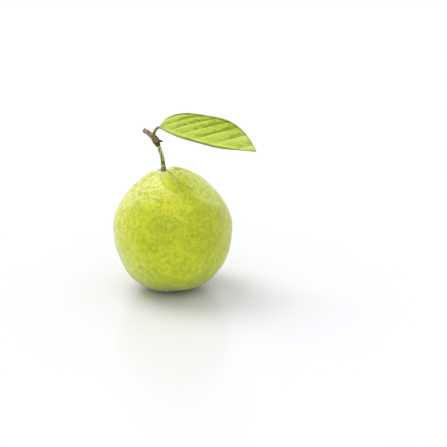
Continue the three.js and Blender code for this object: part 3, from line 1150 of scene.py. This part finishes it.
def read_vein_map(place):
    """From the blade's map: the count of side veins, the way across, and how far off the midrib."""
    mapped = place.node("UVMap", {"uv_map": "veins"})
    side = mapped.part(1)
    return mapped.part(0) * veins_in_map, side, side.math("ABSOLUTE", side)


def side_veins(count, off):
    nearness = count.math("PINGPONG", count, 0.5)
    return (1 - nearness.above(0.02, 0.07)) * (1 - off.above(0.8, 0.98))


def fine_net(place):
    """The net of tiny veins between the side veins."""
    sockets = {"Vector": place, "Scale": 1 / net_size}
    cells = place.node("TexVoronoi", {"feature": "DISTANCE_TO_EDGE"}, sockets)
    return 1 - cells.above(0.02, 0.12)


# %% Upper face: where painted light and painted shade lie
upper, upper_shader, upper_place = start_material("leaf upper face", 0.45, specular=0.2)
count, side, off = read_vein_map(upper_place)
panel = count.math("FRACT", count)  # 0 to 1 from each side vein to the next
near_half = (0 - side).above(0.02, 0.2)

patchy = speckle(upper_place, 3.2, 2, shift=1.5) - 0.5
flecks = speckle(upper_place, 1.5, 2.5, stretch=(2, 1, 1), turn=(0, 0, blade_heading), shift=4.4) - 0.5
along_veins = count.node("CombineXYZ", None, {0: count * 2.5, 1: side * 2})
vein_streaks = count.node("TexNoise", None, {"Vector": along_veins, "Scale": 1, "Detail": 4}) - 0.5

# Painted shade on one side of each swelling, and painted light on the other.
painted_shade_side = panel.above(0.45, 0.95) * (0.3 + off * 0.8 + patchy * 1.4)
painted_light_side = (1 - panel.above(0.05, 0.35)) * (1 - off.above(0.8, 1.0)) * (0.75 + patchy * 1.5)
# Painted shade is also heavier on the near half, which hangs in shadow, and the blade grows darker towards
# its margin. shade carries the streaks and flecks too.
broad_shade = painted_shade_side * 1.1 + off.above(0.3, 1.0) * 0.4 + near_half * 0.35
shade = broad_shade + vein_streaks * 2.3 + flecks * 2.4
near_rib = (1 - off.above(0.1, 0.7)) * (1 - near_half)
so_far(upper)

# %% Upper face: greens, veins and net
fresh_green = colour(190, 206, 72)
shaded_green = colour(142, 162, 12)
pale_vein = colour(214, 226, 122)
midrib_line = 1 - off.above(0.03, 0.07)
upper_net = fine_net(upper_place)

tone = mix(shade.above(0, 1), fresh_green, shaded_green)
# The lit side of each swelling turns pale as painted light, and the strip beside the midrib is paler as
# well.
lit = mix((painted_light_side * 0.45 + near_rib * 0.22).above(0, 1), tone, pale_vein)
netted = mix(upper_net * 0.1, lit, pale_vein)
veined = mix(side_veins(count, off) * 0.25, netted, pale_vein)
ribbed = mix(midrib_line * 0.3, veined, pale_vein)
so_far(upper)

# %% Upper face: pale ends, and olive painted shade where the edges turn away
pale_end = colour(212, 220, 134)
edge_shade_olive = colour(92, 100, 30)
along_leaf = upper_place.part(0)  # the blade runs nearly along X
middle_part = along_leaf.above(0.002, 0.014) * (1 - along_leaf.above(0.036, 0.048))
at_the_ends = 1 - along_leaf.above(-0.006, 0.014) + along_leaf.above(0.040, 0.056)
near_edge = (0 - side).above(0.35, 0.65) * (0.35 + middle_part * 0.65 + patchy * 1.2)
far_edge = off.above(0.85, 0.95) * (0.6 + patchy)

ended = mix(at_the_ends * (0.3 + patchy), ribbed, pale_end)
# Olive along the near and far edges of the blade is painted shade.
mix((near_edge + far_edge).above(0, 1) * 0.8, ended, edge_shade_olive).to(upper_shader, "Base Color")
net_grooves = bump(upper_net, -0.05)
bump(speckle(upper_place, 0.8, 1), 0.03, over=net_grooves).to(upper_shader, "Normal")
cover(blade_piece, upper)

# %% Underside
under_dark = colour(166, 184, 92)
under_pale = colour(184, 198, 112)
under_vein = colour(206, 214, 146)
under, under_shader, under_place = start_material("leaf underside", 0.65)
under_count, _, under_off = read_vein_map(under_place)
under_veins = side_veins(under_count, under_off)
under_net = fine_net(under_place)

dull = mix(speckle(under_place, 8, 2).above(0.3, 0.7), under_dark, under_pale)
raised = (under_veins * 0.8 + under_net * 0.35).above(0, 1)
mix(raised, dull, under_vein).to(under_shader, "Base Color")
bump(under_net * 0.3 + under_veins, 0.12).to(under_shader, "Normal")
cover(blade_piece, under)

# %% Leaf stalk and midrib
rib_green, rib_shader, rib_place = start_material("leaf stalk green", 0.55, specular=0.2)
rib_streaks = speckle(rib_place, 0.8, 2, stretch=(3, 1, 1))
nearer_twig = 1 - rib_place.part(0).above(-0.0105, -0.002)
pale_green = mix(rib_streaks.above(0.3, 0.7), colour(164, 176, 88), colour(196, 204, 120))
aged_brown = mix(rib_streaks.above(0.35, 0.65), colour(92, 80, 38), colour(144, 136, 80))
mix(nearer_twig * 0.85, pale_green, aged_brown).to(rib_shader, "Base Color")
bump(rib_streaks, 0.08).to(rib_shader, "Normal")
cover(rib_piece, rib_green)
